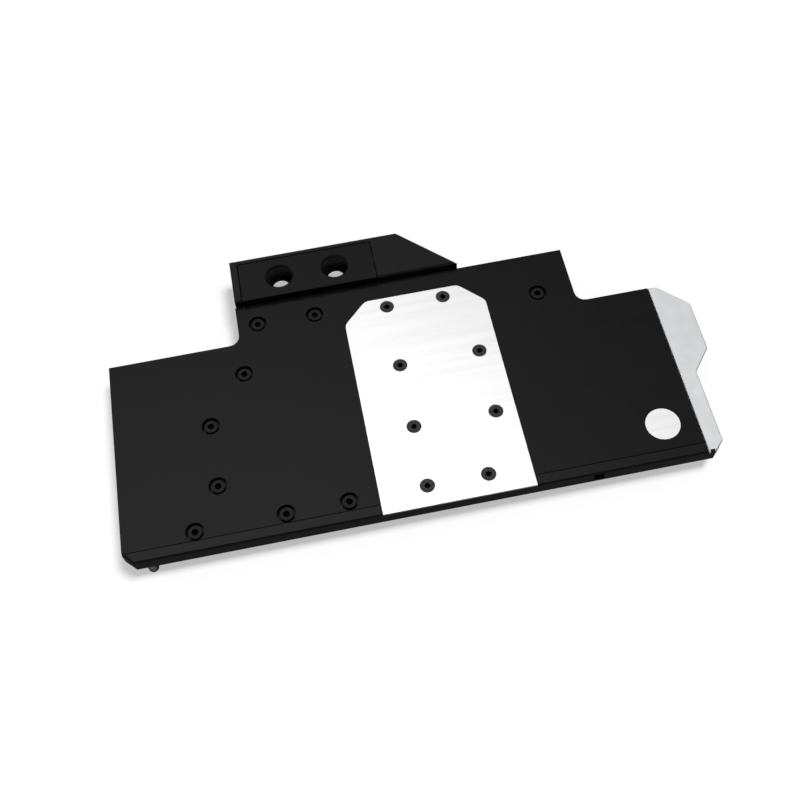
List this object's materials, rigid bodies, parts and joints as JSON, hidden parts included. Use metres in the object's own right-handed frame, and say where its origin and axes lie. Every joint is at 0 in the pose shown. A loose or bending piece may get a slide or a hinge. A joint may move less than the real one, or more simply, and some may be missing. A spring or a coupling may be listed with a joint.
{
  "type": "gpu water block",
  "caption": "Flat full-cover water block for a graphics card: black acetal top with a let-in brushed steel plate, silver end plate and a raised terminal with through ports.",
  "frame": {"origin": "centre of the contact face that lies on the graphics chip", "axes": "+X towards the card's far end, where the silver end plate is; +Y towards the side with the terminal; +Z away from the card"},
  "size_m": [0.2637, 0.1397, 0.0191],
  "materials": {
    "black_acetal": "milled black acetal, satin",
    "cover_aluminium": "black anodised, satin",
    "brushed_steel": "fine brushed grain",
    "badge_aluminium": "fine brushed disc",
    "satin_aluminium": "bead-blasted satin",
    "nickel_plating": "nickel-plated copper, milled",
    "blackened_steel": "black oxide on steel",
    "nickel_brass": "nickel-plated brass, turned",
    "magnet_plating": "nickel-plated magnet",
    "black_rubber": "matte cord rubber"
  },
  "bodies": {
    "root": {"top_plate": "black_acetal", "terminal_block": "black_acetal", "terminal_cover": "cover_aluminium", "cover_plate": "brushed_steel", "jet_plate": "brushed_steel", "badge": "badge_aluminium", "end_plate": "satin_aluminium", "cold_plate": "nickel_plating", "top_screw_1": "blackened_steel", "top_screw_2": "blackened_steel", "top_screw_3": "blackened_steel", "top_screw_4": "blackened_steel", "top_screw_5": "blackened_steel", "top_screw_6": "blackened_steel", "top_screw_7": "blackened_steel", "top_screw_8": "blackened_steel", "top_screw_9": "blackened_steel", "cover_screw_1": "blackened_steel", "cover_screw_2": "blackened_steel", "cover_screw_3": "blackened_steel", "cover_screw_4": "blackened_steel", "cover_screw_5": "blackened_steel", "cover_screw_6": "blackened_steel", "cover_screw_7": "blackened_steel", "cover_screw_8": "blackened_steel", "terminal_screw_1": "blackened_steel", "terminal_screw_2": "blackened_steel", "terminal_screw_3": "blackened_steel", "chip_standoff_1": "nickel_brass", "chip_standoff_2": "nickel_brass", "chip_standoff_3": "nickel_brass", "chip_standoff_4": "nickel_brass", "card_standoff_1": "nickel_brass", "card_standoff_2": "nickel_brass", "card_standoff_3": "nickel_brass", "corner_standoff_1": "nickel_brass", "corner_standoff_2": "nickel_brass", "corner_standoff_3": "nickel_brass", "corner_standoff_4": "nickel_brass", "block_magnet_1": "magnet_plating", "block_magnet_2": "magnet_plating", "cover_magnet_1": "magnet_plating", "cover_magnet_2": "magnet_plating", "main_gasket": "black_rubber", "port_gasket_1": "black_rubber", "port_gasket_2": "black_rubber"}
  },
  "joints": []
}
